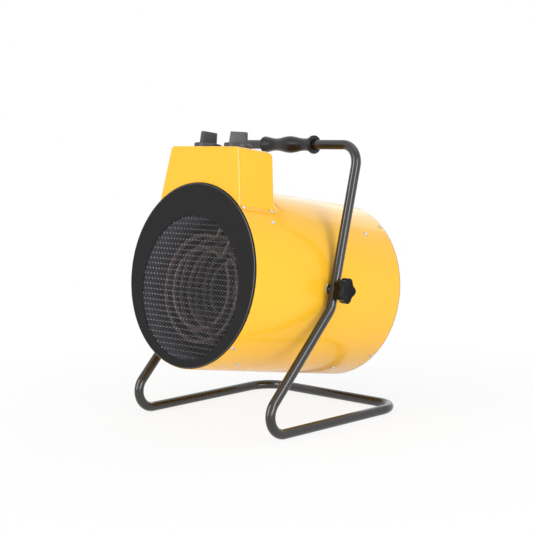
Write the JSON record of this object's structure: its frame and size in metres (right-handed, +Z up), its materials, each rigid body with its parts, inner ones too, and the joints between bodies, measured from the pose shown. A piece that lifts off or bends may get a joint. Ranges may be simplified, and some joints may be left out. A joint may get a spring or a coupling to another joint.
{
  "type": "forced air heater",
  "caption": "Portable electric fan heater: a sheet-metal drum with heating elements behind a mesh, a control box with two knobs on top, and a bent tube stand that is also the handle.",
  "frame": {"origin": "on the ground, under the middle of the whole heater's box at rest", "axes": "+Z up; the air is blown towards -Y; +X is the side seen in the picture, to the heater's left as it faces forwards"},
  "size_m": [0.3796, 0.3912, 0.4801],
  "materials": {
    "yellow_paint": "gloss powder coat",
    "black_paint": "matt powder coat",
    "tube_paint": "satin powder coat",
    "grip_plastic": "moulded, satin",
    "knob_plastic": "moulded, matt",
    "star_plastic": "moulded, gloss",
    "zinc_plate": "zinc plated",
    "screw_zinc": "zinc plated, bright",
    "duct_steel": "plain sheet, dulled by heat",
    "element_steel": "heat-browned sheath",
    "aluminium": "mill finish",
    "control_plastic": "moulded, plain"
  },
  "bodies": {
    "stand": {"stand_tube": "tube_paint", "handle_grip": "grip_plastic"},
    "heater": {"drum_shell": "yellow_paint", "control_box_body": "yellow_paint", "control_box_front": "yellow_paint", "front_ring": "black_paint", "rear_ring": "black_paint", "front_grille": "black_paint", "rear_guard": "black_paint", "terminal_plate": "zinc_plate", "element_support_right": "zinc_plate", "element_support_left": "zinc_plate", "motor_bracket": "zinc_plate", "pivot_washer_right": "zinc_plate", "pivot_washer_left": "zinc_plate", "pivot_nut_right": "zinc_plate", "pivot_nut_left": "zinc_plate", "inner_duct": "duct_steel", "heating_element_1": "element_steel", "heating_element_2": "element_steel", "heating_element_3": "element_steel", "fan_motor": "aluminium", "thermal_cutout": "control_plastic", "thermostat_body": "control_plastic", "rotary_switch_body": "control_plastic", "terminal_block": "control_plastic", "cable_gland": "control_plastic", "cable_gland_nut": "control_plastic", "cover_screw_front_right": "screw_zinc", "cover_screw_rear_right": "screw_zinc", "ring_screw_right": "screw_zinc", "duct_screw_upper_right": "screw_zinc", "motor_screw_upper_right": "screw_zinc", "rear_screw_upper_right": "screw_zinc", "duct_screw_lower_right": "screw_zinc", "motor_screw_lower_right": "screw_zinc", "rear_screw_lower_right": "screw_zinc", "cover_screw_front_left": "screw_zinc", "cover_screw_rear_left": "screw_zinc", "ring_screw_left": "screw_zinc", "duct_screw_upper_left": "screw_zinc", "motor_screw_upper_left": "screw_zinc", "rear_screw_upper_left": "screw_zinc", "duct_screw_lower_left": "screw_zinc", "motor_screw_lower_left": "screw_zinc", "rear_screw_lower_left": "screw_zinc"},
    "fan": {"fan_impeller": "aluminium", "motor_shaft": "zinc_plate", "fan_nut": "zinc_plate"},
    "thermostat_control": {"thermostat_knob": "knob_plastic", "thermostat_spindle": "zinc_plate"},
    "switch_control": {"switch_knob": "knob_plastic", "switch_spindle": "zinc_plate"},
    "clamp_right": {"star_knob_right": "star_plastic", "star_stud_right": "zinc_plate"},
    "clamp_left": {"star_knob_left": "star_plastic", "star_stud_left": "zinc_plate"}
  },
  "joints": [
    {"name": "drum_tilt", "type": "hinge", "parent": "stand", "child": "heater", "pos_m": [0, -0.00542, 0.223], "axis": [1, 0, 0], "range_deg": [-18, 27]},
    {"name": "fan_spin", "type": "hinge", "parent": "heater", "child": "fan", "pos_m": [0, 0.05994, 0.19268], "axis": [0, 0.986, -0.1668], "continuous": true},
    {"name": "thermostat_turn", "type": "hinge", "parent": "heater", "child": "thermostat_control", "pos_m": [-0.036, -0.09333, 0.44984], "axis": [0, 0.1668, 0.986], "range_deg": [-135, 135]},
    {"name": "switch_turn", "type": "hinge", "parent": "heater", "child": "switch_control", "pos_m": [0.036, -0.09333, 0.44984], "axis": [0, 0.1668, 0.986], "range_deg": [-45, 90]},
    {"name": "clamp_turn_right", "type": "hinge", "parent": "heater", "child": "clamp_right", "pos_m": [0.18, -0.00542, 0.223], "axis": [1, 0, 0], "range_deg": [0, 360]},
    {"name": "clamp_turn_left", "type": "hinge", "parent": "heater", "child": "clamp_left", "pos_m": [-0.18, -0.00542, 0.223], "axis": [-1, 0, 0], "range_deg": [0, 360]}
  ]
}
